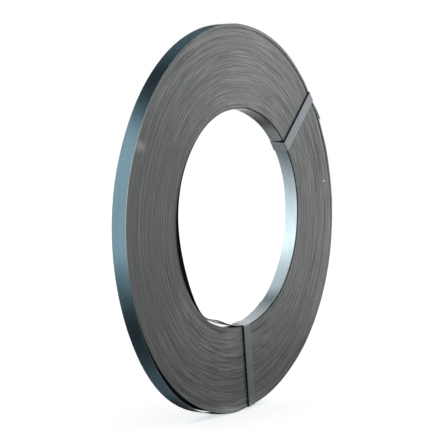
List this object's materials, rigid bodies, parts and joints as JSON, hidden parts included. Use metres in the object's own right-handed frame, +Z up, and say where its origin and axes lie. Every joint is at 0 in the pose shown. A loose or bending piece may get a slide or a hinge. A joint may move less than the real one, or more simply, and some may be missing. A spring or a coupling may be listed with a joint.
{
  "type": "steel strapping coil",
  "caption": "Flat ribbon-wound coil of blued steel strapping with a wide round bore, held by narrow steel ties, for a strapping dispenser.",
  "frame": {"origin": "centre of the bore, midway between the coil's two ends", "axes": "+Z up with the coil standing on its rim, +Y along the coil's axis towards its back end, +X to the right of the front end"},
  "size_m": [0.391, 0.0185, 0.391],
  "materials": {
    "strap_steel": "blued flats and bare slit edges, satin",
    "tie_steel": "satin"
  },
  "bodies": {
    "root": {"strap_coil": "strap_steel", "upper_tie": "tie_steel", "lower_tie": "tie_steel"}
  },
  "joints": []
}
